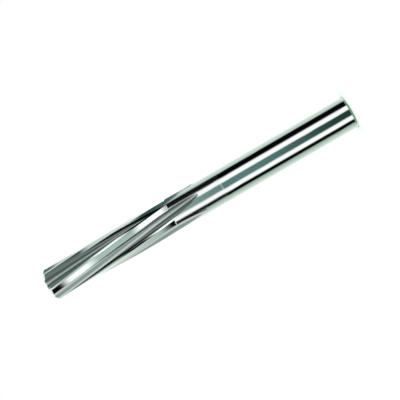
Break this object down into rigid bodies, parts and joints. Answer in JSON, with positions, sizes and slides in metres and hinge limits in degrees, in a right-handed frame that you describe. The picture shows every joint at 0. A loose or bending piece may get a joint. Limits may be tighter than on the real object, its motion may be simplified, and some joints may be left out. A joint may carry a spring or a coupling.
{
  "type": "machine reamer",
  "caption": "Straight-shank machine reamer with left-hand spiral flutes, a bevel lead and a relieved neck, ground from one solid rod.",
  "frame": {"origin": "centre of the shank's flat end face, on the reamer's axis", "axes": "+Z along the axis from the shank end to the cutting end; the reamer stands on its shank end"},
  "size_m": [0.012, 0.012, 0.12],
  "materials": {
    "ground_carbide": "bare solid carbide, finely ground and polished on the shank and lands, coarser grinding lines in the flutes"
  },
  "bodies": {
    "root": {"reamer_body": "ground_carbide"}
  },
  "joints": []
}
